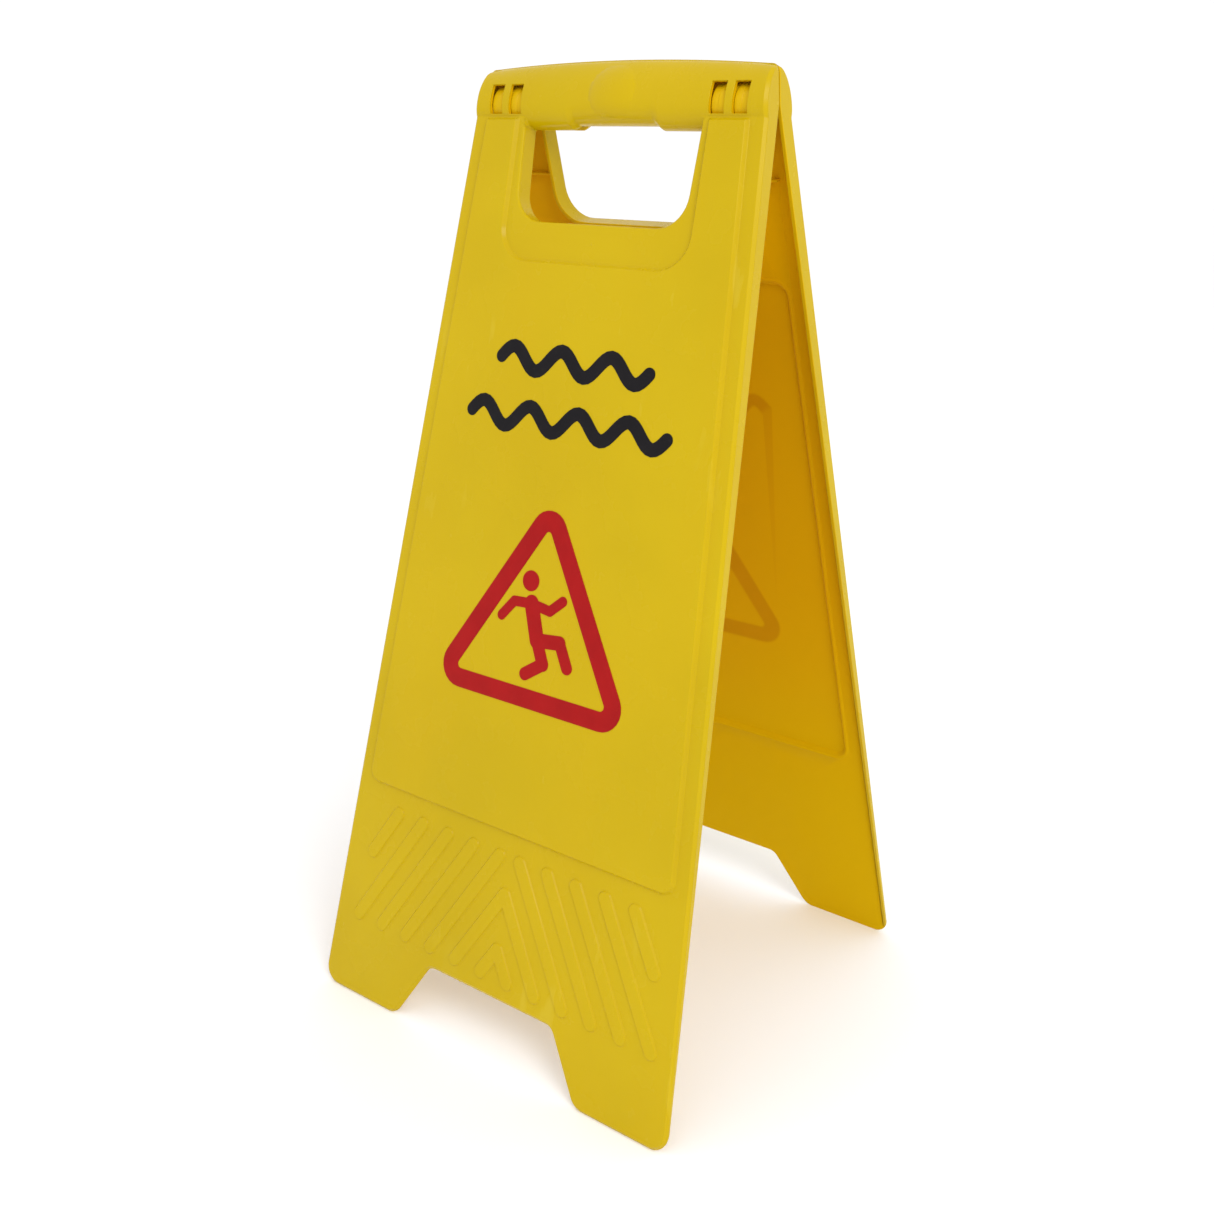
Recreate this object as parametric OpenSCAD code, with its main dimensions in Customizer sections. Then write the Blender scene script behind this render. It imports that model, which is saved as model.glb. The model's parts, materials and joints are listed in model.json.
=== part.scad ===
// Folding A-frame wet floor sign: two moulded shells joined at the handle by
// two short hinge pins, with the warning print on the outside of both shells.
// Origin: on the floor, midway between the four feet. X is the sign's width,
// the front panel faces -Y and Z is up. The sign is drawn standing open.

/* [Overall size] */
// Height of the hinge axis above the floor
hinge_h = 595; // [560:1:640]
// Width across the feet
foot_w = 300; // [280:1:330]
// Width at the hinge axis
top_w = 214; // [205:1:230]
// Lean of each panel from the vertical when open
lean = 13.2; // [11:0.1:16]

/* [Shell] */
// Depth of a shell from its border face to the seam
shell_depth = 12.5; // [12:0.1:14]
// Wall thickness of the mouldings
wall = 2.6; // [2.2:0.1:2.8]
// Bevel along the outer edges
edge_bevel = 3; // [2:0.1:3.5]
// Gap from each shell to the plane where the shells meet
seam_gap = 0.15; // [0.15:0.05:0.5]
// Length over which the skirts run out at the feet
skirt_taper = 50; // [30:1:70]

/* [Raised print field] */
// Distance from the hinge axis to the top of the field
field_top = 9.5; // [9:0.5:12]
// Distance from the hinge axis to the bottom of the field
field_bottom = 457; // [440:1:460]
// Border between the shell's edge and the field
field_inset = 11.5; // [10:0.5:16]
// Height of the field above the border
field_raise = 2.5; // [1.5:0.1:3]

/* [Handle] */
// Height of the grip above the hinge axis
grip_up = 27; // [24:0.5:28]
// Depth of the grip below the hinge axis
grip_down = 15; // [13:0.5:17]
// Half thickness of the folded grip
grip_t = 15; // [14:0.5:16]
// Drop of the grip's top from its middle to its ends
grip_arch = 4.5; // [3:0.5:7]
// Radius of the round boss in the middle of the grip
boss_r = 16; // [12:0.5:17]
// Half width of the hand hole at the grip
hole_top_half = 65.5; // [62:0.5:67]
// Half width of the hand hole at its lower edge
hole_low_half = 63; // [54:1:65]
// Distance from the hinge axis to the hand hole's lower edge
hole_bottom = 72; // [64:1:76]
// Width of the sunken band round the hand hole, at the sides
band_side = 4; // [3:0.5:5]
// Width of the sunken band under the hand hole
band_low = 23; // [18:1:26]

/* [Hinges] */
// Distance from the middle of the sign to the middle of each hinge
hinge_x = 82; // [80:0.5:84]
// Radius of the hinge pins
pin_r = 3; // [2.5:0.1:3.5]
// Length of the hinge pins
pin_len = 22; // [20:0.5:24]
// Running clearance of the pins in the back shell's knuckles
pin_play = 0.06; // [0.02:0.01:0.1]
// Outer radius of the knuckles
knuckle_r = 12.6; // [9:0.1:12.8]
// Width of one knuckle
knuckle_w = 5; // [4:0.1:5.4]
// Width of one slot in the front of the grip
slot_w = 10; // [8:0.5:11]

/* [Feet] */
// Distance from the hinge axis to the top of the notch
notch_top = 569; // [555:1:580]
// Half width of the notch at its top
notch_top_half = 53; // [45:1:60]
// Half width of the notch at the floor
notch_low_half = 79; // [70:1:90]

/* [Ribs and print] */
// Width of a chevron rib
rib_w = 10.5; // [8:0.5:12]
// Height of a chevron rib
rib_raise = 1.2; // [0.8:0.1:1.6]
// Spacing of the ribs across the panel
rib_pitch = 22.9; // [21:0.1:24]
// Thickness of the print
print_t = 0.25; // [0.2:0.05:0.4]
// Stroke of the wave lines
wave_stroke = 8.5; // [6:0.5:10]

/* [Hidden] */
yellow = [0.85, 0.72, 0.06];
red = [0.68, 0.05, 0.05];
ink = [0.09, 0.08, 0.09];
arc_steps = 8;
web_half = 6;                                // half height of a knuckle's web
over = 1;                                    // overshoot of a cut past a face
foot_v = (hinge_h + shell_depth * sin(lean)) / cos(lean);
side_slope = (foot_w - top_w) / 2 / foot_v;
field_face = shell_depth + field_raise;
hole_r = 20;
band_r = 20;
grip_mid = 1.6;                              // where the grip is thickest, up from the axis
boss_z = 5;
boss_raise = 1.2;
hub_r = 11.5;                                // hub beside each of the back knuckles
stay_z = -44;                                // low stay beside the hole flange
stay_w = 1.4;
stay_len = 32;
stay_deep = 6;
relief_half = 31;                            // half length of the relief under the grip
relief_up = 2.6;
grip_corner_r = 5;
foot_r = 8;
rib_top = 473;                               // first and last rib centres, down
rib_low = 554.5;                             // from the hinge axis
rib_short_low = 506;
rib_first = 8.4;
rib_slope = 0.6;
rib_shift = 3;                               // the chevrons sit a little off centre
rib_count = 5;
wave_length = 38;
wave_height = 7;
wave_steps = 16;                             // outline points in one wave length

// Half width of the shell at a distance down from the hinge axis
function half_w(down) = top_w / 2 + side_slope * down;
function turn(a) = a > 180 ? a - 360 : a < -180 ? a + 360 : a;
function corner_arc(a, b, c, r) =
    let (u = (a - b) / norm(a - b), w = (c - b) / norm(c - b))
    let (half = acos(u * w) / 2, mid = b + (u + w) / norm(u + w) * r / sin(half))
    let (s = b + u * r / tan(half) - mid, e = b + w * r / tan(half) - mid)
    let (from = atan2(s[1], s[0]), sweep = turn(atan2(e[1], e[0]) - from))
    [for (i = [0 : arc_steps]) mid + r * [cos(from + sweep * i / arc_steps),
                                          sin(from + sweep * i / arc_steps)]];
// A closed outline with each corner rounded to its own radius
function rounded(p, r) = let (n = len(p))
    [for (i = [0 : n - 1]) each corner_arc(p[(i + n - 1) % n], p[i], p[(i + 1) % n], r[i])];
function mirrored(p) = concat(p, [for (i = [len(p) - 1 : -1 : 0]) [-p[i][0], p[i][1]]]);
// Half thickness of the grip at a height above the hinge axis
function grip_edge(z, less) =
    let (up = (z - grip_mid) / (grip_up - less - grip_mid))
    let (down = (grip_mid - z) / (grip_down - less + grip_mid))
    (grip_t - less) * (z > grip_mid ? sqrt(1 - min(1, up * up))
                                    : pow(1 - pow(min(1, down), 2.4), 1 / 2.4));

// Panel frame: X is the width, Z is up the panel from the hinge axis, and
// the outside faces -Y. A slab spans two distances out from the seam.
module slab(from, to) {
    translate([0, -from, 0]) rotate([90, 0, 0]) linear_extrude(to - from) children();
}
module stand_front() {
    translate([0, 0, hinge_h]) rotate([-lean, 0, 0]) children();
}
module stand_back() {
    mirror([0, 1, 0]) stand_front() children();
}
// A prism along X from points [out from the seam, up]
module along_x(points, half) {
    rotate([90, 0, -90]) translate([0, 0, -half]) linear_extrude(2 * half) polygon(points);
}

module shell_outline() {
    low = foot_v + 4;                        // the floor cuts the feet off level
    end_up = grip_up - grip_arch;
    flat = half_w(-end_up) - grip_corner_r;
    side = [[half_w(-end_up), end_up], [half_w(low), -low],
            [notch_low_half, -low], [notch_top_half, -notch_top]];
    radii = [grip_corner_r, foot_r + 4, foot_r + 4, foot_r];
    back_radii = [for (i = [3 : -1 : 0]) radii[i]];
    polygon(rounded(mirrored(side), concat(radii, back_radii)));
    polygon(concat([[flat, 0], [-flat, 0]],
        [for (i = [-12 : 12]) [flat * i / 12, end_up + grip_arch * (1 - pow(i / 12, 2))]]));
}
module inner_outline() {
    low = foot_v + 20;
    up = grip_up;
    polygon(mirrored([[half_w(-up) - wall, up], [half_w(low) - wall, -low]]));
}
module hole_outline(more, up) {
    side = [[hole_top_half + more, up], [hole_low_half + more, -hole_bottom - more]];
    polygon(rounded(mirrored(side), [1, hole_r + more, hole_r + more, 1]));
}
module band_outline() {
    side = [[hole_top_half + band_side, 0], [hole_top_half + band_side, -hole_bottom - band_low]];
    polygon(rounded(mirrored(side), [1, band_r, band_r, 1]));
}
module field_outline() {
    side = [[half_w(field_top) - field_inset, -field_top],
            [half_w(field_bottom) - field_inset, -field_bottom]];
    difference() {
        polygon(rounded(mirrored(side), [2, 9, 9, 2]));
        band_outline();
    }
}
// Behind the field the moulding is hollow from below the hand hole down
module hollow_outline() {
    top = hole_bottom + band_low + 10;
    low = field_bottom - 2;
    inset = field_inset + wall + 2;
    polygon(rounded(mirrored([[half_w(top) - inset, -top], [half_w(low) - inset, -low]]),
                    [10, 10, 10, 10]));
}
// A straight bar with round ends, and the half circle that closes one end
function round_end(p, r, from) = [for (i = [0 : 2 * arc_steps])
    p + r * [cos(from + 90 * i / arc_steps), sin(from + 90 * i / arc_steps)]];
module bar(p, q, r) {
    from = atan2(q[1] - p[1], q[0] - p[0]);
    polygon(concat(round_end(q, r, from - 90), round_end(p, r, from + 90)));
}
module ribs_outline() {
    for (side = [-1, 1]) {
        for (i = [-2 : rib_count - 1]) {
            lean_x = function (down) rib_first + rib_pitch * i + rib_slope * (down - rib_top);
            first = max(rib_top, rib_top - (rib_first + rib_pitch * i) / rib_slope);
            last = i == rib_count - 1 ? rib_short_low : rib_low;
            translate([rib_shift, 0])
                bar([side * lean_x(first), -first], [side * lean_x(last), -last], rib_w / 2);
        }
    }
}

// Grip cross-section, from the seam outwards
module grip_solid(less) {
    top = grip_up - less;
    low = less - grip_down;
    along_x(concat([[-over, low], [0, low]],
        [for (i = [1 : 23]) let (z = low + (top - low) * (1 - cos(i * 7.5)) / 2) [grip_edge(z, less), z]],
        [[0, top], [-over, top]]), foot_w);
}
// The underside of the grip is drawn in over its middle, with sloping ends
module relief(up) {
    low = -grip_down - over;
    top = relief_up - grip_down + up;
    near = relief_half - 1.3 + up * 0.4;
    slab(-2 * over, field_face + over) polygon([[-near, top], [low - top - near, low],
                                                [top - low + near, low], [near, top]]);
}
module edge_bevels() {
    edge_angle = atan(side_slope);
    for (side = [0, 1]) {
        mirror([side, 0, 0]) translate([half_w(0), -shell_depth, 0]) rotate([0, -edge_angle, 0])
            rotate([0, 0, 45]) translate([-edge_bevel * 0.7, -edge_bevel * 0.7, -foot_v - 20])
                translate([0, -edge_bevel, 0]) cube([edge_bevel * 3, edge_bevel, foot_v + 20]);
    }
}
// One moulded shell, without its hinge knuckles
module shell() {
    difference() {
        union() {
            difference() {
                slab(seam_gap, shell_depth) intersection() {
                    shell_outline();
                    translate([-foot_w, -foot_v - 20]) square([2 * foot_w, foot_v + 20 - 6]);
                }
                slab(-over, field_face) hole_outline(0, 0);
            }
            difference() {
                intersection() {
                    slab(seam_gap, field_face + over) shell_outline();
                    grip_solid(0);
                }
                relief(0);
            }
            slab(shell_depth - over, field_face) field_outline();
            slab(shell_depth - over, shell_depth + rib_raise) ribs_outline();
            intersection() {
                grip_solid(-boss_raise);
                translate([0, 0, boss_z]) rotate([90, 0, 0]) cylinder(h = 20, r = boss_r, $fn = 64);
            }
        }
        // Grip hollow and panel hollow, leaving a flange round the hand hole
        difference() {
            intersection() {
                slab(-over, field_face) inner_outline();
                grip_solid(wall);
            }
            relief(wall);
        }
        slab(-over, shell_depth - wall) difference() {
            intersection() {
                inner_outline();
                translate([-foot_w, -foot_v - 20]) square([2 * foot_w, foot_v + 20 - 3]);
            }
            hole_outline(wall, over);
        }
        slab(-over, field_face - wall) hollow_outline();
        // Skirts run out at the feet
        along_x([[-over, -foot_v + skirt_taper], [0, -foot_v + skirt_taper],
                 [shell_depth - wall - 1, -foot_v + 6], [shell_depth - wall - 1, -foot_v - 10],
                 [-over, -foot_v - 10]], foot_w);
        edge_bevels();
    }
    for (side = [0, 1]) {
        mirror([side, 0, 0]) translate([hole_top_half + 1, 1 - shell_depth, stay_z])
            cube([stay_len, stay_deep, stay_w]);
    }
}
// Above the axis the open shells butt together, and the floor levels the feet
module open_cuts() {
    translate([-foot_w, -seam_gap, hinge_h]) cube([2 * foot_w, 60, 60]);
    translate([-foot_w, -foot_w, -60]) cube([2 * foot_w, 2 * foot_w, 60]);
}
// A knuckle and the web that joins it to the inside of its own shell
module knuckle(x) {
    translate([x - knuckle_w / 2, 0, 0]) {
        rotate([0, 90, 0]) cylinder(h = knuckle_w, r = knuckle_r, $fn = 48);
        translate([0, -grip_t + wall / 2, -web_half]) cube([knuckle_w, grip_t - wall / 2, 2 * web_half]);
    }
}
module pin_bore(side, r) {
    translate([side * hinge_x - 16, 0, hinge_h]) rotate([0, 90, 0]) cylinder(h = 32, r = r, $fn = 48);
}
module slot(x, w) {
    translate([x - w / 2, -grip_t - 2, -7.6]) cube([w, 8.2, 17.6]);
}

module front_panel() {
    gap = (slot_w + knuckle_w + 0.3) / 2;
    color(yellow) difference() {
        union() {
            difference() {
                stand_front() shell();
                open_cuts();
                stand_front() for (side = [-1, 1], near = [-1, 1]) slot(side * hinge_x + near * gap, slot_w);
            }
            stand_front() for (side = [-1, 1]) knuckle(side * hinge_x);
        }
        for (side = [-1, 1]) pin_bore(side, pin_r);
    }
}
module back_panel() {
    reach = knuckle_w + 0.3;
    color(yellow) difference() {
        union() {
            difference() {
                mirror([0, 1, 0]) difference() {
                    stand_front() shell();
                    open_cuts();
                }
                stand_back() for (side = [-1, 1]) slot(side * hinge_x, knuckle_w + 1);
            }
            stand_back() for (side = [-1, 1], near = [-1, 1]) knuckle(side * hinge_x + near * reach);
            for (side = [-1, 1], near = [-1, 1]) {
                translate([side * hinge_x + near * (reach + 4.5) - 3, 0, hinge_h])
                    rotate([0, 90, 0]) cylinder(h = 6, r = hub_r, $fn = 48);
            }
        }
        for (side = [-1, 1]) pin_bore(side, pin_r + pin_play);
    }
}
// A plain round pin with chamfered ends
module hinge_pin(side) {
    color("silver") translate([side * hinge_x - pin_len / 2, 0, hinge_h]) rotate([90, 0, 90])
        rotate_extrude($fn = 48) polygon([[0, 0], [pin_r - 0.5, 0], [pin_r, 0.5], [pin_r, pin_len - 0.5],
                                          [pin_r - 0.5, pin_len], [0, pin_len]]);
}
module hinge_pin_left() { hinge_pin(-1); }
module hinge_pin_right() { hinge_pin(1); }

// Print layers lie on the outside of the raised field
module on_field() {
    slab(field_face, field_face + print_t) children();
}
// A band of constant stroke that follows a sine wave
module wave(down, count) {
    length = wave_length * count;
    n = wave_steps * count;
    k = 360 / wave_length;
    at = function (i) [length * (i / n - 0.5), wave_height * sin(360 * i / wave_steps)];
    slope = function (i) wave_height * cos(360 * i / wave_steps) * k * PI / 180;
    off = function (i, s) at(i) + s * wave_stroke / 2 * [-slope(i), 1] / norm([slope(i), 1]);
    end = atan(slope(0));
    translate([0, -down]) polygon(concat([for (i = [n - 1 : -1 : 1]) off(i, 1)],
        round_end(at(0), wave_stroke / 2, end + 90), [for (i = [1 : n - 1]) off(i, -1)],
        round_end(at(n), wave_stroke / 2, end - 90)));
}
module wave_print() {
    color(ink) {
        on_field() wave(156, 3);
        on_field() wave(192, 4);
    }
}
module triangle_print() {
    outer = [[0, -233], [84.5, -372.5], [-84.5, -372.5]];
    inner = [[0, -257], [62.3, -360], [-62.3, -360]];
    color(red) on_field() difference() {
        polygon(rounded(outer, [14, 15, 15]));
        polygon(rounded(inner, [2.5, 3, 3]));
    }
}
// A person whose feet slide away, made of a round head and round-ended bars
module limb(p, q, r) { on_field() bar(p, q, r); }
module figure_print() {
    neck = [-6, -306];
    hip = [2, -328];
    elbow_back = [-20, -307];
    elbow_front = [9, -308];
    knee_high = [20, -326];
    knee_low = [9, -342];
    color(red) {
        on_field() translate([-9, -292]) circle(6.6, $fn = 48);
        limb(neck, hip, 5.6);
        limb(neck, elbow_back, 3.3);
        limb(elbow_back, [-29, -318], 3.3);
        limb(neck, elbow_front, 3.3);
        limb(elbow_front, [18, -300], 3.3);
        limb(hip, knee_high, 4.6);
        limb(knee_high, [28, -340], 4.2);
        limb(hip, knee_low, 4.6);
        limb(knee_low, [-4, -351], 4.2);
    }
}
module front_wave_print() { stand_front() wave_print(); }
module front_triangle_print() { stand_front() triangle_print(); }
module front_figure_print() { stand_front() figure_print(); }
module back_wave_print() { rotate([0, 0, 180]) stand_front() wave_print(); }
module back_triangle_print() { rotate([0, 0, 180]) stand_front() triangle_print(); }
module back_figure_print() { rotate([0, 0, 180]) stand_front() figure_print(); }

front_panel();
back_panel();
hinge_pin_left();
hinge_pin_right();
front_wave_print();
front_triangle_print();
front_figure_print();
back_wave_print();
back_triangle_print();
back_figure_print();
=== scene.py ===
import json
import math
import bpy
import numpy as np
from mathutils import Matrix, Vector
from mathutils.geometry import delaunay_2d_cdt


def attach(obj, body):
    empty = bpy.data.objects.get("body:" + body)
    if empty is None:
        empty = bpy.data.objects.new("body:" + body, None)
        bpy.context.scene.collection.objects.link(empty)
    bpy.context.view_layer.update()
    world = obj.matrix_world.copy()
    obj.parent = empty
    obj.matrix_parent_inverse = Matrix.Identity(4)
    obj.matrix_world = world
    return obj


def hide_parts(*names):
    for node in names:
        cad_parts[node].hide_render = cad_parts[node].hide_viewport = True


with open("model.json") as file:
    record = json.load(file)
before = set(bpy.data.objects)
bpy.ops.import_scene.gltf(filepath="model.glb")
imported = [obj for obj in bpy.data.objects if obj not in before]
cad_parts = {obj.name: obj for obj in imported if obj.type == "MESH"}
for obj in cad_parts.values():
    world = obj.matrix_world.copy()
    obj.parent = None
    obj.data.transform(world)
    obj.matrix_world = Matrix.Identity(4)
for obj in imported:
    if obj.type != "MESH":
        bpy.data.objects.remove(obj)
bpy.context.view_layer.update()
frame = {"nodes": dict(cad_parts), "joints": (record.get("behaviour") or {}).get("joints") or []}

# ---------------------------------------------------------------- dimensions
# The shells are worked out in millimetres in the panel's own frame: x across
# the sign, z up the panel from the hinge axis, t out from the seam.
MM = 0.001
FOLD = frame["joints"][0]
HINGE_H = FOLD["pos_m"][2] / MM
LEAN = math.radians(FOLD["range_deg"][1] / 2)
TAN_LEAN = math.tan(LEAN)

WALL = 2.6
BORDER_T = 12.5                  # outside face of the border
SEAM = 0.15                      # half the gap between the closed shells
FOOT_CLEAR = 0.3                 # how far the feet stay inside the CAD shell's
FOOT_Z = -(HINGE_H + BORDER_T * math.sin(LEAN)) / math.cos(LEAN) + FOOT_CLEAR
TOP_HALF = 107.0                 # half width at the hinge axis
FOOT_HALF = 150.0
SIDE_SLOPE = (FOOT_HALF - TOP_HALF) / -FOOT_Z
EDGE = (2.2, 1.8)                # width and depth of the worn chamfer on the outer edges
RIM_R = 0.5                      # rounding of the skirts' free edges
INNER_R = 1.5                    # fillet where a skirt meets the sheet
FOOT_R = 12.0
NOTCH = (-569.0, 53.0, 79.0, 8.0)  # height, half width above and below, radius
SKIRT_TAPER = 50.0

GRIP_UP = 27.0
GRIP_DOWN = 15.0
GRIP_MID = 1.6                   # where the grip is thickest, up from the axis
GRIP_T = 15.0
GRIP_ARCH = 4.5
GRIP_CORNER = 5.0
RELIEF = (31.0, 2.6)             # half length and rise of the relief under the grip
HOLE = (65.5, 63.0, -72.0, 20.0)   # half width above and below, lower edge, radius
HOLE_R = 1.5
BAND = (69.5, -95.0, 20.0)         # half width, lower edge, radius

FIELD_Z = (-9.5, -457.0)
FIELD_INSET = 10.4
FIELD_RAISE = 2.5
FIELD_STEP = 2.5                 # width of the step at the field's edge
FIELD_CORNER = 9.0
BEND = 0.22                      # share of a step's width that each of its radii takes
KNOTS = (0, 0.11, 0.22, 0.78, 0.89, 1)  # where a step gets mesh lines, across its width
HOLLOW = (-105.0, -455.0, 16.5, 10.0)  # top, bottom, inset and corner radius of the hollow
BEAD = (1.6, 0.7, 1.3)           # half width, height and offset of the bead round the hollow
STAY = (-44.0, -42.6, 32.0, 5.5)  # lower and upper side, length and nearest depth of the low stay

RIB_R = 5.25
RIB_RAISE = 1.2
RIB_STEP = 1.3
RIB_PITCH = 22.9
RIB_SLOPE = 0.6
RIB_FIRST = 8.4
RIB_SHIFT = 3.0
RIB_Z = (-473.0, -554.5, -506.0)   # top, foot, and foot of the short outer rib

BOSS = (0.0, 5.0, 16.0, 2.0)       # x, z, radius, height
GATES = ((0.0, -84.0), (0.0, -467.0))
GATE_R = 1.3
GATE_UP = 0.35

# The print, whose shade shows on the shell's inside: corners with their radii, and rows of waves
TRIANGLE = ((-84.5, -372.5, 15), (84.5, -372.5, 15), (0, -233, 14))
TRIANGLE_HOLE = ((-62.3, -360, 3), (62.3, -360, 3), (0, -257, 2.5))
WAVE_ROWS = ((-156, 3), (-192, 4))   # height and number of waves
WAVE = (38, 7, 4.25)                 # length, height and half stroke
WAVE_STEPS = 16

HINGE_X = 82.0
SLOT_Z = (-7.6, 10.0)
SLOT_W = 10.0
SLOT_R = 0.5                     # rounding of the slots' edges
KNUCKLE_W = 5.0
KNUCKLE_R = 12.6
HUB_R = 12.2
HUB_END = 12.6                   # distance from the middle of the hinge to the hub's end
WEB_HALF = 6.0
PIN_R = 3.0
PIN_PLAY = 0.06

# How much of the inside's painted glow a surface takes, from 0 outside to 1 on the inner sheet: a warmer,
# brighter colour that stands for light through the walls and lightens the shade inside
PAINTED_GLOW_EDGE = 0.35
PAINTED_GLOW_STAY = 0.8


# ------------------------------------------------------------ plane geometry
def half_width(z):
    return TOP_HALF - SIDE_SLOPE * z


def arch_top(x):
    """Height of the grip's top edge above the hinge axis."""
    return GRIP_UP - GRIP_ARCH * np.clip(np.abs(x) / (TOP_HALF - GRIP_CORNER), 0, 1) ** 2


def shifted(corners, d):
    """The outline's corners with every side moved d inwards; corners are (x, z, radius), anticlockwise."""
    p = np.array([c[:2] for c in corners], float)
    along = np.roll(p, -1, 0) - p
    along /= np.linalg.norm(along, axis=1)[:, None]
    normal = np.stack([-along[:, 1], along[:, 0]], 1)
    before = np.roll(normal, 1, 0)
    bisector = (before + normal) / (1 + (before * normal).sum(1))[:, None]
    was = np.roll(along, 1, 0)
    convex = was[:, 0] * along[:, 1] - was[:, 1] * along[:, 0] > 0
    moved = p + bisector * d
    out = []
    for (x, z), turn, corner in zip(moved, convex, corners):
        r = corner[2]
        if r > 0:
            r = max(r - d, 0.2) if turn else max(r + d, 0.2)
        out.append((x, z, r))
    return out


def rounded(corners, steps=9):
    """The closed outline through the corners, each rounded to its own radius."""
    points = []
    n = len(corners)
    for i in range(n):
        b = np.array(corners[i][:2], float)
        r = corners[i][2]
        if r <= 0:
            points.append(b)
            continue
        u = np.array(corners[i - 1][:2]) - b
        w = np.array(corners[(i + 1) % n][:2]) - b
        u /= np.linalg.norm(u)
        w /= np.linalg.norm(w)
        half = math.acos(max(-1, min(1, float(u @ w)))) / 2
        mid = b + (u + w) / np.linalg.norm(u + w) * r / math.sin(half)
        start = b + u * r / math.tan(half) - mid
        end = b + w * r / math.tan(half) - mid
        first = math.atan2(start[1], start[0])
        sweep = (math.atan2(end[1], end[0]) - first + math.pi) % (2 * math.pi) - math.pi
        for k in range(steps + 1):
            a = first + sweep * k / steps
            points.append(mid + r * np.array([math.cos(a), math.sin(a)]))
    return np.array(points)


def mirrored(right):
    """A symmetric outline from its right half, which runs upwards."""
    return right + [(-x, z, r) for x, z, r in reversed(right)]


def circle(x, z, r, steps=32):
    a = np.linspace(0, 2 * math.pi, steps, endpoint=False)
    return np.stack([x + r * np.cos(a), z + r * np.sin(a)], 1)


def capsule(p, q, r, steps=8):
    """The outline of a bar with round ends."""
    p, q = np.array(p, float), np.array(q, float)
    a0 = math.atan2(q[1] - p[1], q[0] - p[0])
    a = np.linspace(-math.pi / 2, math.pi / 2, steps + 1) + a0
    ring = r * np.stack([np.cos(a), np.sin(a)], 1)
    return np.concatenate([q + ring, p - ring])


def from_segment(x, z, p, q):
    """Distance from points to a segment."""
    px, pz = x - p[0], z - p[1]
    dx, dz = q[0] - p[0], q[1] - p[1]
    k = np.clip((px * dx + pz * dz) / (dx * dx + dz * dz), 0, 1)
    return np.hypot(px - k * dx, pz - k * dz)


def inside(x, z, loop):
    """Even-odd test of points against a closed outline."""
    odd = np.zeros(x.shape, bool)
    for (ax, az), (bx, bz) in zip(loop, np.roll(loop, -1, 0)):
        if az == bz:
            continue
        crosses = (az > z) != (bz > z)
        odd ^= crosses & (x < (bx - ax) * (z - az) / (bz - az) + ax)
    return odd


def depth(x, z, loop):
    """Distance to a closed outline, positive inside it."""
    near = np.full(x.shape, 1e9)
    for p, q in zip(loop, np.roll(loop, -1, 0)):
        near = np.minimum(near, from_segment(x, z, p, q))
    return np.where(inside(x, z, loop), near, -near)


def ease(s):
    s = np.clip(s, 0, 1)
    return s * s * (3 - 2 * s)


def ramp(s):
    """A straight rise from 0 to 1 with a small radius at each end."""
    s = np.clip(s, 0, 1)
    k = BEND
    rise = 1 / (1 - k)
    low = rise * s * s / (2 * k)
    high = 1 - rise * (1 - s) ** 2 / (2 * k)
    return np.where(s < k, low, np.where(s > 1 - k, high, rise * (s - k / 2)))


def round_off(d, r):
    """How far a rounded edge of radius r has dropped at a distance d in from the edge."""
    k = np.clip(r - np.maximum(d, 0.004 * r), 0, r)
    return r - np.sqrt(r * r - k * k)


def seam_level(z):
    """Where a shell ends: on the seam below the axis, and short of the other shell above it."""
    return SEAM + np.maximum(z, 0) * TAN_LEAN


def grip_low(x, less):
    """Height of the grip's underside, which is drawn in over the middle."""
    rise = RELIEF[1] * ramp((RELIEF[0] + 2.6 - np.abs(x)) / 4.5)
    return -GRIP_DOWN + less + rise


def grip_face(x, z, less):
    up = (z - GRIP_MID) / (arch_top(x) - less - GRIP_MID)
    down = (GRIP_MID - z) / (GRIP_MID - grip_low(x, less))
    upper = np.sqrt(1 - np.clip(up, 0, 1) ** 2)
    lower = (1 - np.clip(down, 0, 1) ** 2.4) ** (1 / 2.4)
    return (GRIP_T - less) * np.where(z > GRIP_MID, upper, lower)


def seam_top(x):
    """Height at which the grip's face meets the other shell."""
    low, high = GRIP_MID, float(arch_top(x))
    for _ in range(30):
        mid = (low + high) / 2
        if grip_face(np.float64(x), np.float64(mid), 0) > seam_level(mid):
            low = mid
        else:
            high = mid
    return low - 0.1


# ------------------------------------------------------------ shell outlines
ARCH_X = [(TOP_HALF - GRIP_CORNER - 2) * math.sin(a * math.pi / 24) for a in range(11, -12, -1)]
END_UP = seam_top(TOP_HALF)
OUTLINE = [(-FOOT_HALF, FOOT_Z, FOOT_R), (-NOTCH[2], FOOT_Z, FOOT_R), (-NOTCH[1], NOTCH[0], NOTCH[3]),
           (NOTCH[1], NOTCH[0], NOTCH[3]), (NOTCH[2], FOOT_Z, FOOT_R), (FOOT_HALF, FOOT_Z, FOOT_R),
           (half_width(END_UP), END_UP, GRIP_CORNER)]
OUTLINE += [(x, seam_top(x), 0) for x in ARCH_X]
OUTLINE += [(-half_width(END_UP), END_UP, GRIP_CORNER)]
BELOW = FOOT_Z - 30
INNER = [(-half_width(BELOW), BELOW, 0), (half_width(BELOW), BELOW, 0)] + OUTLINE[6:]
UNDER = -GRIP_DOWN + 0.3
HAND = mirrored([(HOLE[1], HOLE[2], HOLE[3]), (HOLE[0], UNDER, 1.0),
                 (RELIEF[0] + 2.6, UNDER, 0.8), (RELIEF[0] - 1.9, UNDER + RELIEF[1], 0.8)])
FIELD = [(half_width(FIELD_Z[1]) - FIELD_INSET, FIELD_Z[1], FIELD_CORNER),
         (half_width(FIELD_Z[0]) - FIELD_INSET, FIELD_Z[0], 2.0),
         (BAND[0], FIELD_Z[0], 1.5), (BAND[0], BAND[1], BAND[2])]
FIELD = FIELD + [(-x, z, r) for x, z, r in reversed(FIELD)]

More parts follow.
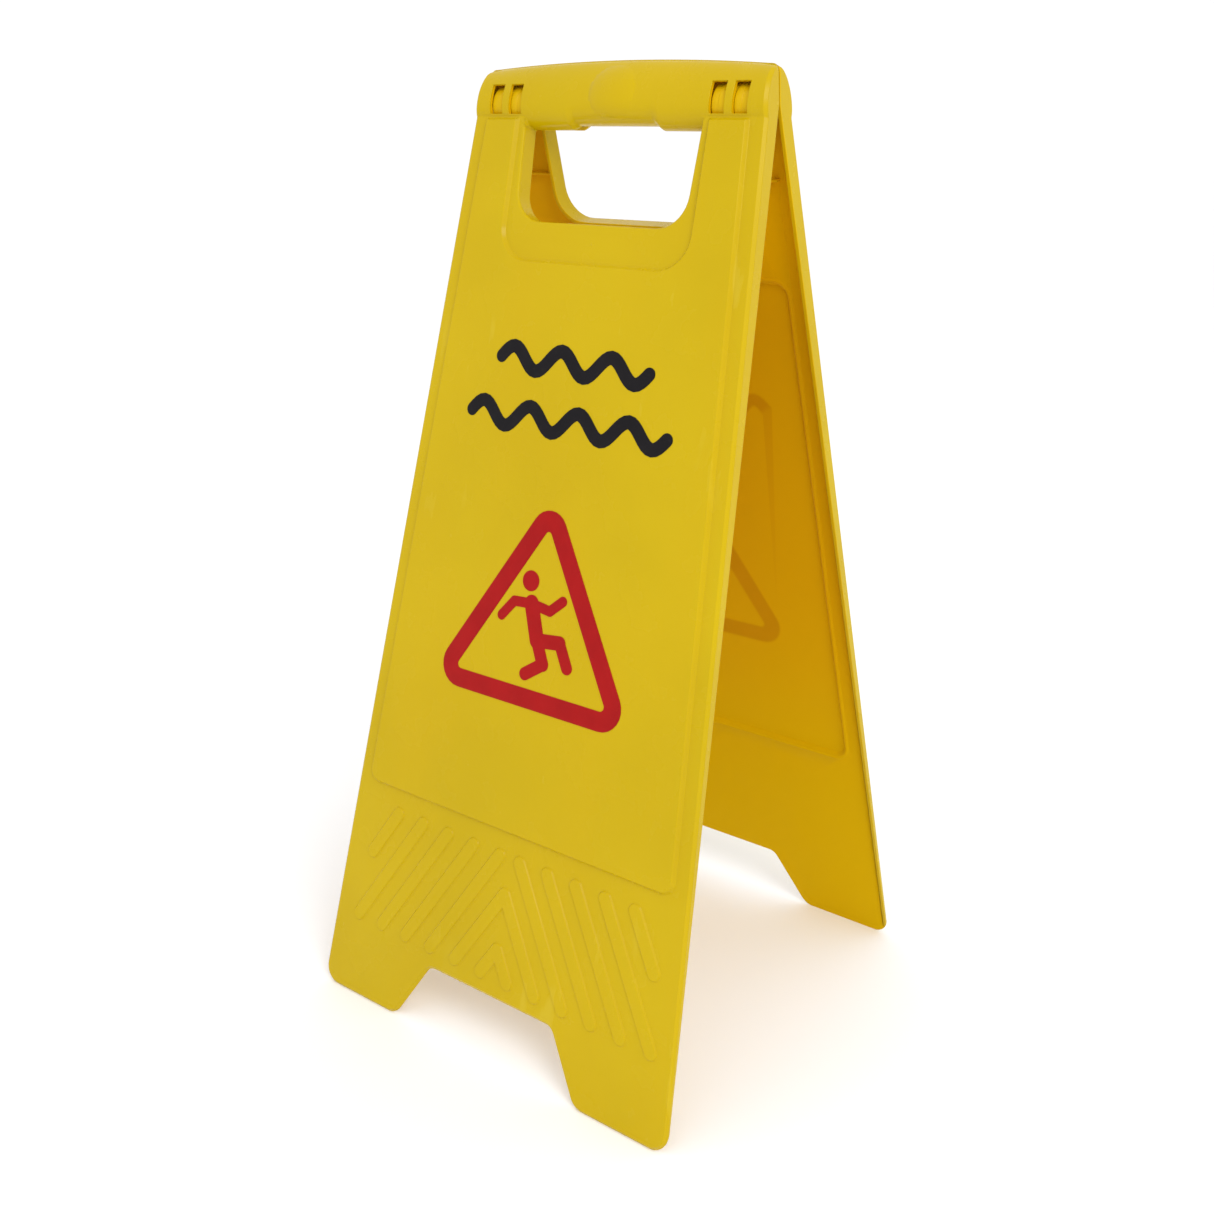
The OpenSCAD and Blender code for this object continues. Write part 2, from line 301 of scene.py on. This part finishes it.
outline = rounded(OUTLINE)
inner_outline = rounded(shifted(INNER, WALL))
hand_hole = rounded(HAND)
hand_flange = rounded(shifted(HAND, -WALL))
field = rounded(FIELD)
HOLLOW_LOOP = mirrored([(half_width(HOLLOW[1]) - HOLLOW[2], HOLLOW[1], HOLLOW[3]),
                        (half_width(HOLLOW[0]) - HOLLOW[2], HOLLOW[0], HOLLOW[3])])
hollow = rounded(HOLLOW_LOOP)


def rib_lines():
    """Centre lines of the chevron ribs."""
    lines = []
    for side in (-1, 1):
        for i in range(-2, 5):
            at_top = RIB_FIRST + RIB_PITCH * i
            first = min(RIB_Z[0], RIB_Z[0] + at_top / RIB_SLOPE)
            last = RIB_Z[2] if i == 4 else RIB_Z[1]
            ends = [(RIB_SHIFT + side * (at_top + RIB_SLOPE * (RIB_Z[0] - z)), z) for z in (first, last)]
            lines.append(ends)
    return lines


RIBS = rib_lines()


def print_edges(d):
    """Closed outlines of the print, grown by d."""
    edges = [rounded(shifted(TRIANGLE, -d)), rounded(shifted(TRIANGLE_HOLE, d))]
    length, height, half = WAVE
    for row, count in WAVE_ROWS:
        i = np.arange(WAVE_STEPS * count + 1)
        k = 2 * math.pi / length
        rise = height * np.sin(2 * math.pi * i / WAVE_STEPS)
        at = np.stack([length * count * (i / i[-1] - 0.5), row + rise], 1)
        slope = height * k * np.cos(2 * math.pi * i / WAVE_STEPS)
        off = np.stack([-slope, np.ones(len(i))], 1) / np.hypot(slope, 1)[:, None]
        edges.append(np.concatenate([at + (half + d) * off, (at - (half + d) * off)[::-1]]))
    return edges


PRINT = print_edges(0)


def shadow(x, z):
    """1 behind the print and 0 elsewhere, with a soft edge."""
    tri, hole, wave_a, wave_b = [depth(x, z, loop) for loop in PRINT]
    near = np.max([np.minimum(tri, -hole), wave_a, wave_b], axis=0)
    return ease((near + 1) / 2)


def sheet_face(x, z, less):
    """The panel's face without edge roundings; less is 0 outside and the wall's thickness inside."""
    grip = grip_face(x, z, less)
    border = BORDER_T - less
    arms = np.where(z < -5, np.maximum(grip, border), grip)
    beside = ease((np.abs(x) - HOLE[0] - less + 0.6) / 1.2)
    low = -GRIP_DOWN
    face = np.where(z > low, grip + (arms - grip) * beside, border)
    raised = FIELD_RAISE * ramp(depth(x, z, field if less == 0 else hollow) / FIELD_STEP)
    return np.maximum(face, np.minimum(border, face) + raised)


def outer_face(x, z, slots):
    t = sheet_face(x, z, 0)
    rib = np.max([ease((RIB_R - from_segment(x, z, p, q)) / RIB_STEP) for p, q in RIBS], axis=0)
    t = t + RIB_RAISE * rib
    rho = np.hypot(x - BOSS[0], z - BOSS[1]) / BOSS[2]
    t = t + BOSS[3] * np.clip(1 - rho ** 2, 0, 1) ** 0.85
    for gx, gz in GATES:
        t = t + GATE_UP * ease(1 - np.hypot(x - gx, z - gz) / GATE_R)
    # The chamfer is smaller along the top of the grip, between its rounded corners
    blunt = ease((z - 5) / 8) * (1 - ease((np.abs(x) - 94) / 7))
    t = t - EDGE[1] * (1 - 0.75 * blunt) * (1 - ramp(depth(x, z, outline) / EDGE[0]))
    t = t - round_off(-depth(x, z, hand_hole), HOLE_R)
    for slot in slots:
        t = t - round_off(-depth(x, z, slot), SLOT_R)
    return np.maximum(t, seam_level(z) + 0.25)


def inner_face(x, z):
    t = sheet_face(x, z, WALL)
    t = t - round_off(depth(x, z, inner_outline), INNER_R)
    t = t - round_off(-depth(x, z, hand_flange), INNER_R)
    off = (depth(x, z, hollow) + BEAD[2]) / BEAD[0]
    t = t - BEAD[1] * np.clip(1 - off * off, 0, 1)
    return np.maximum(t, rim_face(x, z, False))


def rim_face(x, z, edges=True):
    """The skirts' free edge, which runs out towards the feet."""
    start = FOOT_Z + SKIRT_TAPER
    run = np.clip((start - z) / (SKIRT_TAPER - 6), 0, 1)
    t = seam_level(z) + (BORDER_T - WALL - SEAM) * run
    if edges:
        t = t + round_off(depth(x, z, outline), RIM_R) + round_off(-depth(x, z, inner_outline), RIM_R)
        t = t + round_off(-depth(x, z, hand_hole), RIM_R) + round_off(depth(x, z, hand_flange), RIM_R)
        t = np.minimum(t, seam_level(z) + (BORDER_T - WALL - SEAM))
    return t


def slope_normals(face, x, z):
    """Unit normals of a height field in the panel frame, as (x, t, z)."""
    e = 0.03
    dx = (face(x + e, z) - face(x - e, z)) / (2 * e)
    dz = (face(x, z + e) - face(x, z - e)) / (2 * e)
    n = np.stack([-dx, np.ones_like(dx), -dz], 1)
    return n / np.linalg.norm(n, axis=1)[:, None]


# ------------------------------------------------------------- shell meshing
def rings(corners, distances):
    return [rounded(shifted(corners, d)) for d in distances]


def shell_loops(slots):
    """Every closed line that the shell's surface has to follow."""
    turn = [1 - math.cos(math.radians(a)) for a in (0, 22.5, 45, 67.5, 90)]
    loops = rings(OUTLINE, [EDGE[0] * k for k in KNOTS] + [RIM_R * k for k in turn[1:]])
    loops += rings(INNER, [WALL - RIM_R, WALL - RIM_R * 0.3, WALL] + [WALL + INNER_R * k for k in turn[1:]])
    loops += rings(HAND, [-HOLE_R * k for k in turn])
    loops += rings(HAND, [-WALL + RIM_R, -WALL] + [-WALL - INNER_R * k for k in turn[1:]])
    loops += rings(FIELD, [FIELD_STEP * k for k in (0, 0.07, 0.15, 0.22, 0.78, 0.85, 0.93, 1)])
    loops += rings(HOLLOW_LOOP, [FIELD_STEP * k for k in KNOTS[2:]])
    loops += rings(HOLLOW_LOOP, [BEAD[0] * k - BEAD[2] for k in np.linspace(-1, 1, 9)])
    for d in (-1, 0, 1):
        loops += print_edges(d)
    for p, q in RIBS:
        loops += [capsule(p, q, RIB_R - RIB_STEP * k) for k in (0, 0.2, 0.4, 0.6, 0.8, 1)]
    loops += [circle(BOSS[0], BOSS[1], BOSS[2] * k, 48) for k in (0.2, 0.4, 0.6, 0.75, 0.86, 0.93, 0.97, 1)]
    for gx, gz in GATES:
        loops += [circle(gx, gz, GATE_R * k, 12) for k in (0.35, 0.7, 1)]
    for slot in slots:
        mid = slot.mean(0)
        grown = slot + np.sign(slot - mid) * SLOT_R
        loops += [slot, grown]
    return loops


def shell_lines():
    """Open lines across the grip, where the face is curved."""
    lines = []
    xs = np.linspace(-TOP_HALF - 3, TOP_HALF + 3, 89)
    for a in range(-23, 24):
        s = math.sin(a * math.pi / 47)
        reach = arch_top(xs) - GRIP_MID if s > 0 else GRIP_MID - grip_low(xs, 0)
        lines.append(np.stack([xs, GRIP_MID + reach * s], 1))
    return lines


def in_shell(x, z, slots):
    """0 outside the shell, 1 over a skirt or flange, 2 over the open inside."""
    kind = np.where(inside(x, z, inner_outline) & ~inside(x, z, hand_flange), 2, 1)
    gone = ~inside(x, z, outline) | inside(x, z, hand_hole)
    for slot in slots:
        gone |= inside(x, z, slot)
    return np.where(gone, 0, kind)


def triangulate(loops, lines):
    points, edges = [], []
    for closed, group in ((True, loops), (False, lines)):
        for line in group:
            first = len(points)
            n = len(line)
            points += [Vector((float(x), float(z))) for x, z in line]
            edges += [(first + i, first + (i + 1) % n) for i in range(n if closed else n - 1)]
    verts, _, faces, _, _, _ = delaunay_2d_cdt(points, edges, [], 0, 1e-4)
    return np.array([v[:] for v in verts]), np.array([f[:] for f in faces])


class Solid:
    """Collects vertices, faces and corner normals in the panel frame."""

    def __init__(self):
        self.points, self.faces, self.normals = [], [], []
        self.shade, self.within, self.count = [], [], 0

    def add(self, points, within=0.0, shade=0.0):
        self.points.append(np.asarray(points, float))
        self.within.append(np.full(len(points), within))
        self.shade.append(np.full(len(points), shade))
        self.count += len(points)
        return self.count - len(points)

    def face(self, corners, normals):
        self.faces.append([int(c) for c in corners])
        self.normals.append([tuple(n) for n in normals])


def wall_normals(edges, xz):
    """A horizontal normal for both ends of each wall edge, smooth round gentle bends."""
    p = xz[edges]
    d = p[:, 1] - p[:, 0]
    n = np.stack([d[:, 1], -d[:, 0]], 1)
    n /= np.maximum(np.linalg.norm(n, axis=1), 1e-9)[:, None]
    out = np.repeat(n[:, None, :], 2, 1)
    at = {}
    for i, (a, b) in enumerate(edges):
        at.setdefault(int(a), []).append((i, 0))
        at.setdefault(int(b), []).append((i, 1))
    for uses in at.values():
        if len(uses) == 2:
            (i, j), (k, m) = uses
            if n[i] @ n[k] > 0.75:
                mean = (n[i] + n[k]) / np.linalg.norm(n[i] + n[k])
                out[i, j] = mean
                out[k, m] = mean
    return out


def build_shell(slots):
    xz, tris = triangulate(shell_loops(slots), shell_lines())
    mid = xz[tris].mean(1)
    kind = in_shell(mid[:, 0], mid[:, 1], slots)
    area = np.cross(xz[tris[:, 1]] - xz[tris[:, 0]], xz[tris[:, 2]] - xz[tris[:, 0]])
    tris[area < 0] = tris[area < 0][:, ::-1]
    keep = (kind > 0) & (np.abs(area) > 1e-7)
    tris, kind = tris[keep], kind[keep]
    x, z = xz[:, 0], xz[:, 1]

    def outside(a, b):
        return outer_face(a, b, slots)

    top_t = outside(x, z)
    levels = {1: rim_face(x, z), 2: inner_face(x, z)}
    top_n = slope_normals(outside, x, z)
    under_n = {1: -slope_normals(rim_face, x, z), 2: -slope_normals(inner_face, x, z)}
    solid = Solid()
    top = solid.add(np.stack([x, top_t, z], 1))
    under = {k: np.stack([x, np.minimum(levels[k], top_t - 0.02), z], 1) for k in levels}
    # The rim is painted with part of the inside's glow, and the inner sheet with all of it and with the
    # print's painted shadow
    low = {1: solid.add(under[1], PAINTED_GLOW_EDGE), 2: solid.add(under[2], 1.0, shadow(x, z))}
    # The walls round the outside have their own lower edge, which keeps the outside's colour
    skin = {1: solid.add(under[1]), 2: low[2]}
    sides = {}
    for tri, k in zip(tris, kind):
        solid.face(top + tri, top_n[tri])
        back = tri[::-1]
        solid.face(low[k] + back, under_n[k][back])
        for a, b in zip(tri, np.roll(tri, -1)):
            sides[(int(a), int(b))] = int(k)
    rim_walls = [(a, b) for (a, b), k in sides.items() if (b, a) not in sides]
    steps = [(a, b) for (a, b), k in sides.items() if k == 1 and sides.get((b, a)) == 2]
    for edges, is_rim in ((np.array(rim_walls), True), (np.array(steps), False)):
        for (a, b), n in zip(edges, wall_normals(edges, xz)):
            na, nb = [(v[0], 0.0, v[1]) for v in n]
            below = skin[sides[(int(a), int(b))]] if is_rim else low[2]
            above = top if is_rim else low[1]
            solid.face((below + a, below + b, above + b, above + a), (na, nb, nb, na))
    return solid


def add_knuckle(solid, x, bore):
    """A knuckle round the hinge axis, with the web that joins it to its own shell."""
    n = 64
    a = np.arange(n) * 2 * math.pi / n
    reach = np.full(n, KNUCKLE_R)
    deep = GRIP_T - WALL / 2
    web = (np.cos(a) > 0) & (np.abs(np.tan(a)) * deep <= WEB_HALF)
    reach[web] = deep / np.cos(a[web])
    outer = np.stack([reach * np.cos(a), reach * np.sin(a)], 1)
    hole = np.stack([bore * np.cos(a), bore * np.sin(a)], 1)
    radial = np.stack([np.cos(a), np.sin(a)], 1)
    half = KNUCKLE_W / 2
    chamfer = 0.4
    rows = [(hole, -half), (outer - radial * chamfer, -half), (outer, -half + chamfer),
            (outer, half - chamfer), (outer - radial * chamfer, half), (hole, half)]
    # The knuckle is painted with part of the inside's glow, which lightens it in the shade of the slots
    firsts = [solid.add(np.stack([np.full(n, x + s), p[:, 0], p[:, 1]], 1), PAINTED_GLOW_EDGE) for p, s in rows]
    facing = [(-1, 0), (-0.7, 0.7), (0, 1), (0.7, 0.7), (1, 0), (0, -1)]
    for r in range(6):
        here, there = firsts[r], firsts[(r + 1) % 6]
        nx, nr = facing[r]
        for i in range(n):
            j = (i + 1) % n
            ni = (nx, nr * radial[i][0], nr * radial[i][1])
            nj = (nx, nr * radial[j][0], nr * radial[j][1])
            solid.face((here + i, here + j, there + j, there + i), (ni, nj, nj, ni))


def add_hub(solid, x, end):
    """A plain hub from a knuckle's side out to the end of its slot."""
    n = 48
    a = np.arange(n + 1) * 2 * math.pi / n
    radial = np.stack([np.cos(a), np.sin(a)], 1)
    way = 1 if end > x else -1
    chamfer = 0.5
    rows = [(HUB_R, x), (HUB_R, end - way * chamfer), (HUB_R - chamfer, end), (PIN_R + PIN_PLAY, end)]
    firsts = []
    for r, s in rows:
        ring = np.stack([np.full(n + 1, s), r * radial[:, 0], r * radial[:, 1]], 1)
        # The hub is painted with part of the inside's glow, which lightens it in the shade of the slots
        firsts.append(solid.add(ring, PAINTED_GLOW_EDGE))
    for r, (nx, nr) in enumerate(((0, 1), (0.7, 0.7), (1, 0))):
        here, there = firsts[r], firsts[r + 1]
        for i in range(n):
            ni = (way * nx, nr * radial[i][0], nr * radial[i][1])
            nj = (way * nx, nr * radial[i + 1][0], nr * radial[i + 1][1])
            solid.face((here + i, here + i + 1, there + i + 1, there + i), (ni, nj, nj, ni))


def add_stay(solid, side):
    """The low stay that runs out from the hand hole's flange, with its free edges eased."""
    z0, z1, long, near = STAY
    x0, x1 = side * (HOLE[0] + 1), side * (HOLE[0] + 1 + long)
    e = 0.35
    section = [(11.5, z0), (near + e, z0), (near, z0 + e), (near, z1 - e), (near + e, z1), (11.5, z1)]
    # The stay is painted with most of the inside's glow, which lightens it in the shade inside the shell
    first = solid.add([(x, t, z) for x in (x0, x1) for t, z in section], PAINTED_GLOW_STAY)
    for i in range(5):
        (t0, a), (t1, b) = section[i], section[i + 1]
        n = (0, -(b - a), t1 - t0)
        solid.face((first + i, first + i + 1, first + 7 + i, first + 6 + i), (n, n, n, n))
    solid.face(range(first + 6, first + 12), [(side, 0, 0)] * 6)


def to_world(points, facing):
    """From the panel frame to the row frame in metres; facing is 1 for the front panel, -1 for the back."""
    x, t, z = points.T
    y = z * math.sin(LEAN) - t * math.cos(LEAN)
    up = HINGE_H + z * math.cos(LEAN) + t * math.sin(LEAN)
    return np.stack([facing * x, facing * y, np.maximum(up, 0)], 1) * MM


def turn_world(normals, facing):
    x, t, z = normals.T
    y = z * math.sin(LEAN) - t * math.cos(LEAN)
    up = z * math.cos(LEAN) + t * math.sin(LEAN)
    return np.stack([facing * x, facing * y, up], 1)


def finish_mesh(name, solid, facing):
    points = np.concatenate(solid.points)
    used = np.unique(np.concatenate([np.array(f) for f in solid.faces]))
    index = np.full(len(points), -1)
    index[used] = np.arange(len(used))
    mesh = bpy.data.meshes.new(name)
    faces, normals = [], []
    for corners, wanted in zip(solid.faces, solid.normals):
        p = points[corners]
        way = np.cross(p[1] - p[0], p[2] - p[0]) + np.cross(p[2] - p[0], p[-1] - p[0])
        if way @ np.sum(wanted, axis=0) > 0:
            corners, wanted = corners[::-1], wanted[::-1]
        faces.append([int(index[c]) for c in corners])
        normals += wanted
    mesh.from_pydata(to_world(points[used], facing).tolist(), [], faces)
    normals = turn_world(np.array(normals), facing)
    normals /= np.linalg.norm(normals, axis=1)[:, None]
    mesh.polygons.foreach_set("use_smooth", np.ones(len(mesh.polygons), bool))
    mesh.normals_split_custom_set(normals.tolist())
    mesh.update()
    for label, values in (("print_shadow", solid.shade), ("within", solid.within)):
        layer = mesh.attributes.new(label, "FLOAT", "POINT")
        layer.data.foreach_set("value", np.concatenate(values)[used].astype(np.float32))
    obj = bpy.data.objects.new(name, mesh)
    bpy.context.scene.collection.objects.link(obj)
    return obj


def box_loop(x, w, z0, z1):
    """The outline of a slot w wide, with slightly rounded corners."""
    x0, x1, r = x - w / 2, x + w / 2, 0.6
    return rounded([(x0, z0, r), (x1, z0, r), (x1, z1, r), (x0, z1, r)], 3)


def make_shell(name, node, body, facing, slots, knuckles, bore, hubs=()):
    solid = build_shell(slots)
    for x in knuckles:
        add_knuckle(solid, x, bore)
    for x, end in hubs:
        add_hub(solid, x, end)
    for side in (-1, 1):
        add_stay(solid, side)
    shell = finish_mesh(name, solid, facing)
    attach(shell, body)
    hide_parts(node)
    return shell


# ----------------------------------------------------------------- materials
def rgb(r, g, b):
    """Linear colour from 0-255 sRGB numbers."""
    def lin(v):
        v /= 255
        return v / 12.92 if v <= 0.04045 else ((v + 0.055) / 1.055) ** 2.4
    return (lin(r), lin(g), lin(b), 1)


class Nodes:
    """Builds one material node by node, on the object's own coordinates."""

    def __init__(self, name):
        self.material = bpy.data.materials.new(name)
        self.material.use_nodes = True
        self.tree = self.material.node_tree
        self.shader = self.tree.nodes["Principled BSDF"]
        self.coords = self.tree.nodes.new("ShaderNodeTexCoord").outputs["Object"]

    def link(self, out, socket):
        self.tree.links.new(out, socket)

    def set(self, socket, value):
        self.shader.inputs[socket].default_value = value

    def stretched(self, scale, turn=(0, 0, 0)):
        node = self.tree.nodes.new("ShaderNodeMapping")
        node.inputs["Scale"].default_value = scale
        node.inputs["Rotation"].default_value = turn
        self.link(self.coords, node.inputs["Vector"])
        return node.outputs["Vector"]

    def noise(self, scale, detail=3.0, vector=None):
        node = self.tree.nodes.new("ShaderNodeTexNoise")
        node.inputs["Scale"].default_value = scale
        node.inputs["Detail"].default_value = detail
        self.link(vector or self.coords, node.inputs["Vector"])
        return node.outputs["Fac"]

    def span(self, value, from_min, from_max, to_min, to_max):
        node = self.tree.nodes.new("ShaderNodeMapRange")
        node.interpolation_type = "SMOOTHSTEP"
        sockets = ("From Min", "From Max", "To Min", "To Max")
        for socket, number in zip(sockets, (from_min, from_max, to_min, to_max)):
            node.inputs[socket].default_value = number
        self.link(value, node.inputs["Value"])
        return node.outputs["Result"]

    def maths(self, kind, a, b):
        node = self.tree.nodes.new("ShaderNodeMath")
        node.operation = kind
        for i, value in enumerate((a, b)):
            if isinstance(value, float):
                node.inputs[i].default_value = value
            else:
                self.link(value, node.inputs[i])
        return node.outputs["Value"]

    def mix(self, factor, a, b):
        node = self.tree.nodes.new("ShaderNodeMix")
        node.data_type = "RGBA"
        self.link(factor, node.inputs["Factor"])
        for socket, value in ((node.inputs[6], a), (node.inputs[7], b)):
            if isinstance(value, tuple):
                socket.default_value = value
            else:
                self.link(value, socket)
        return node.outputs[2]

    def height(self):
        node = self.tree.nodes.new("ShaderNodeSeparateXYZ")
        self.link(self.coords, node.inputs["Vector"])
        return node.outputs["Z"]

    def attribute(self, name):
        node = self.tree.nodes.new("ShaderNodeAttribute")
        node.attribute_name = name
        return node.outputs["Fac"]

    def bump(self, height, distance, strength, normal=None):
        node = self.tree.nodes.new("ShaderNodeBump")
        node.inputs["Strength"].default_value = strength
        node.inputs["Distance"].default_value = distance
        self.link(height, node.inputs["Height"])
        if normal is not None:
            self.link(normal, node.inputs["Normal"])
        return node.outputs["Normal"]


def moulded_yellow():
    m = Nodes("yellow_moulding")
    cloud = m.span(m.noise(7, 5), 0.3, 0.7, 0, 1)
    colour = m.mix(cloud, rgb(186, 158, 2), rgb(193, 165, 5))
    flow = m.span(m.noise(16, 3, m.stretched((1, 1, 0.25))), 0.35, 0.75, 0, 0.35)
    colour = m.mix(flow, colour, rgb(194, 160, 2))
    scuff_a = m.noise(60, 4, m.stretched((1, 1, 0.06), (0, 0.5, 0)))
    scuff_b = m.noise(75, 4, m.stretched((1, 1, 0.05), (0, -0.9, 0.2)))
    scuffs = m.maths("MAXIMUM", m.span(scuff_a, 0.64, 0.74, 0, 1), m.span(scuff_b, 0.66, 0.76, 0, 1))
    worn = m.span(m.noise(5, 2), 0.45, 0.65, 0, 1)
    scuffs = m.maths("MULTIPLY", scuffs, worn)
    colour = m.mix(m.maths("MULTIPLY", scuffs, 0.25), colour, rgb(205, 184, 60))
    # Inside, the moulding is more matt, and a warmer colour is painted glow that stands for light through
    # its walls; high up, towards the grip, the glow is painted brighter still to lighten the shade there
    within = m.attribute("within")
    height = m.height()
    glow = m.mix(m.span(height, 0.1, 0.3, 0, 1), rgb(208, 168, 0), rgb(210, 158, 0))
    glow = m.mix(m.span(height, 0.46, 0.58, 0, 1), glow, rgb(236, 184, 0))
    colour = m.mix(m.maths("MULTIPLY", within, 0.92), colour, glow)
    colour = m.mix(m.maths("MULTIPLY", m.attribute("print_shadow"), 0.7), colour, rgb(186, 126, 0))
    m.link(colour, m.shader.inputs["Base Color"])
    m.link(m.span(within, 0, 1, 0.14, 0.03), m.shader.inputs["Specular IOR Level"])
    rough = m.maths("ADD", m.span(m.noise(40, 5), 0.3, 0.7, 0.2, 0.3), m.maths("MULTIPLY", scuffs, 0.2))
    rough = m.maths("ADD", rough, m.maths("MULTIPLY", within, 0.3))
    m.link(rough, m.shader.inputs["Roughness"])
    wavy = m.bump(m.noise(22, 1), 0.0006, 0.12)
    grain = m.bump(m.noise(900, 2), 0.0001, 0.12, wavy)
    m.link(m.bump(scuffs, 0.0001, 0.25, grain), m.shader.inputs["Normal"])
    return m.material


def ink(name, dark, light, bare):
    """Screen-printed ink, slightly thin in places."""
    m = Nodes(name)
    cloud = m.span(m.noise(60, 4), 0.3, 0.7, 0, 1)
    colour = m.mix(cloud, dark, light)
    thin = m.span(m.noise(420, 4), 0.62, 0.74, 0, 0.35)
    m.link(m.mix(thin, colour, bare), m.shader.inputs["Base Color"])
    m.set("Specular IOR Level", 0.15)
    m.link(m.span(m.noise(90, 4), 0.3, 0.7, 0.38, 0.52), m.shader.inputs["Roughness"])
    m.link(m.bump(m.noise(800, 3), 0.00006, 0.3), m.shader.inputs["Normal"])
    return m.material


def drawn_steel():
    m = Nodes("pin_steel")
    streaks = m.noise(300, 3, m.stretched((0.04, 1, 1)))
    m.link(m.mix(streaks, rgb(140, 140, 142), rgb(176, 176, 178)), m.shader.inputs["Base Color"])
    m.set("Metallic", 1.0)
    m.link(m.span(streaks, 0.3, 0.7, 0.22, 0.38), m.shader.inputs["Roughness"])
    m.link(m.bump(streaks, 0.00005, 0.3), m.shader.inputs["Normal"])
    return m.material


yellow = moulded_yellow()
black_ink = ink("black_ink", rgb(12, 9, 13), rgb(18, 14, 18), rgb(40, 34, 24))
red_ink = ink("red_ink", rgb(152, 4, 6), rgb(160, 7, 8), rgb(168, 30, 8))
steel = drawn_steel()

# -------------------------------------------------------------------- pieces
gap = (SLOT_W + KNUCKLE_W + 0.3) / 2
front_slots = [box_loop(s * HINGE_X + n * gap, SLOT_W, *SLOT_Z) for s in (-1, 1) for n in (-1, 1)]
back_slots = [box_loop(s * HINGE_X, KNUCKLE_W + 1, *SLOT_Z) for s in (-1, 1)]
reach = KNUCKLE_W + 0.3
front = make_shell("front_shell", "front_panel", "front", 1, front_slots,
                   [-HINGE_X, HINGE_X], PIN_R)
back = make_shell("back_shell", "back_panel", "back", -1, back_slots,
                  [s * HINGE_X + n * reach for s in (-1, 1) for n in (-1, 1)], PIN_R + PIN_PLAY,
                  [(s * HINGE_X + n * reach, s * HINGE_X + n * HUB_END) for s in (-1, 1) for n in (-1, 1)])
for shell in (front, back):
    shell.data.materials.append(yellow)
for node, obj in frame["nodes"].items():
    if node.endswith("_print"):
        obj.data.materials.clear()
        obj.data.materials.append(black_ink if "wave" in node else red_ink)
    elif node.startswith("hinge_pin"):
        obj.data.materials.clear()
        obj.data.materials.append(steel)

# ----------------------------------------------------- backdrop, light, eye
YAW, PITCH, ROLL = 0.64226, -0.34084, 0.00782


def sweep(name, near, far, half, radius, height):
    """A floor that curves up into a wall on the far side from the camera."""
    run = [(-near, 0), (far, 0)]
    bend = np.linspace(0.1, math.pi / 2, 16)
    run += [(far + radius * math.sin(a), radius - radius * math.cos(a)) for a in bend]
    run.append((far + radius, height))
    across = Vector((math.cos(YAW), math.sin(YAW), 0))
    away = Vector((-math.sin(YAW), math.cos(YAW), 0))
    points = [away * d + Vector((0, 0, z)) + across * side for d, z in run for side in (-half, half)]
    faces = [(2 * i, 2 * i + 1, 2 * i + 3, 2 * i + 2) for i in range(len(run) - 1)]
    mesh = bpy.data.meshes.new(name)
    mesh.from_pydata([p[:] for p in points], [], faces)
    mesh.polygons.foreach_set("use_smooth", np.ones(len(mesh.polygons), bool))
    obj = bpy.data.objects.new(name, mesh)
    bpy.context.scene.collection.objects.link(obj)
    paper = Nodes("backdrop_paper")
    pale = paper.mix(paper.noise(3, 2), (0.93, 0.93, 0.93, 1), (0.96, 0.96, 0.96, 1))
    paper.link(pale, paper.shader.inputs["Base Color"])
    paper.set("Roughness", 0.95)
    paper.set("Specular IOR Level", 0.1)
    mesh.materials.append(paper.material)


sweep("backdrop", 9.0, 5.0, 14.0, 3.0, 9.0)

world = bpy.data.worlds.new("studio")
bpy.context.scene.world = world
world.use_nodes = True
world.node_tree.nodes["Background"].inputs["Color"].default_value = (1, 1, 1, 1)
world.node_tree.nodes["Background"].inputs["Strength"].default_value = 1.1


def area_light(name, place, target, size, power):
    data = bpy.data.lights.new(name, "AREA")
    data.shape = "DISK"
    data.size = size
    data.energy = power
    lamp = bpy.data.objects.new(name, data)
    lamp.location = place
    lamp.rotation_euler = (Vector(target) - Vector(place)).to_track_quat("-Z", "Y").to_euler()
    bpy.context.scene.collection.objects.link(lamp)


area_light("key", (1.6, -1.0, 1.7), (0, 0, 0.3), 1.0, 18)

EYE = (0.5081, -0.6928, 0.5806)
FOCAL = 1.104489                 # focal length over the picture's width
SENSOR = 36
cam_data = bpy.data.cameras.new("camera")
cam_data.sensor_width = SENSOR
cam_data.lens = SENSOR * FOCAL
cam_data.clip_start = 0.01
cam = bpy.data.objects.new("camera", cam_data)
ahead = Vector((-math.sin(YAW) * math.cos(PITCH), math.cos(YAW) * math.cos(PITCH), math.sin(PITCH)))
right = Vector((math.cos(YAW), math.sin(YAW), 0))
up = right.cross(ahead)
right, up = right * math.cos(ROLL) + up * math.sin(ROLL), up * math.cos(ROLL) - right * math.sin(ROLL)
cam.matrix_world = Matrix.Translation(EYE) @ Matrix((right, up, -ahead)).transposed().to_4x4()
bpy.context.scene.collection.objects.link(cam)
bpy.context.scene.camera = cam
bpy.context.scene.view_settings.view_transform = "Standard"
